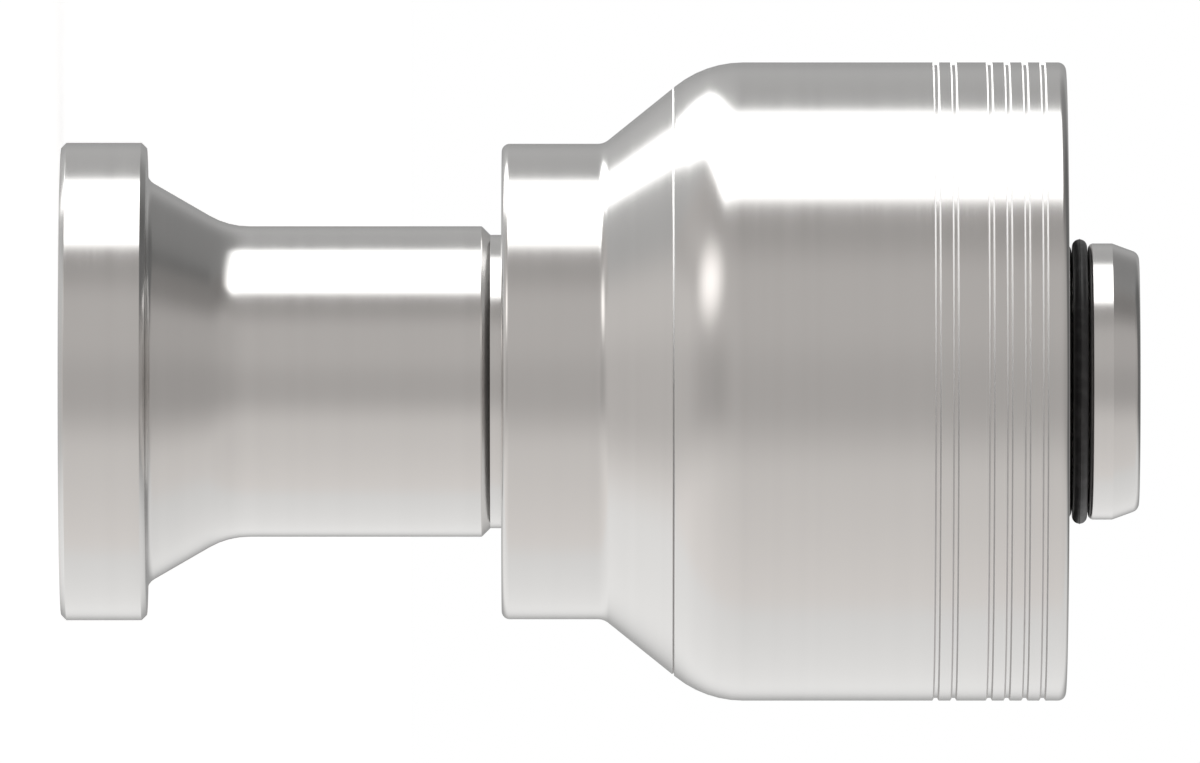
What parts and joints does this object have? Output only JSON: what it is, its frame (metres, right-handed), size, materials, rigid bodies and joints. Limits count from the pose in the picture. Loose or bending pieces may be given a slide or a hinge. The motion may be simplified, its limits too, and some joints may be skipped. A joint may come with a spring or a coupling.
{
  "type": "straight flange-head crimp hose fitting",
  "caption": "Straight hydraulic hose end: flange head with face seal groove, conical shank, crimp shell with inner grip teeth, and a barbed hose tail with a seal ring near its nose.",
  "frame": {"origin": "centre of the flange face, on the surface that the fitting stands on", "axes": "+Z along the axis of the fitting, from the flange face to the nose of the hose tail"},
  "size_m": [0.0594, 0.0594, 0.1003],
  "materials": {
    "nipple_steel": "bright plated steel, finely turned, satin sheen",
    "shell_steel": "bright plated steel, finely turned, satin sheen",
    "seal_rubber": "moulded black rubber, semi-matt"
  },
  "bodies": {
    "root": {"nipple": "nipple_steel", "crimp_shell": "shell_steel", "tail_o_ring": "seal_rubber"}
  },
  "joints": []
}
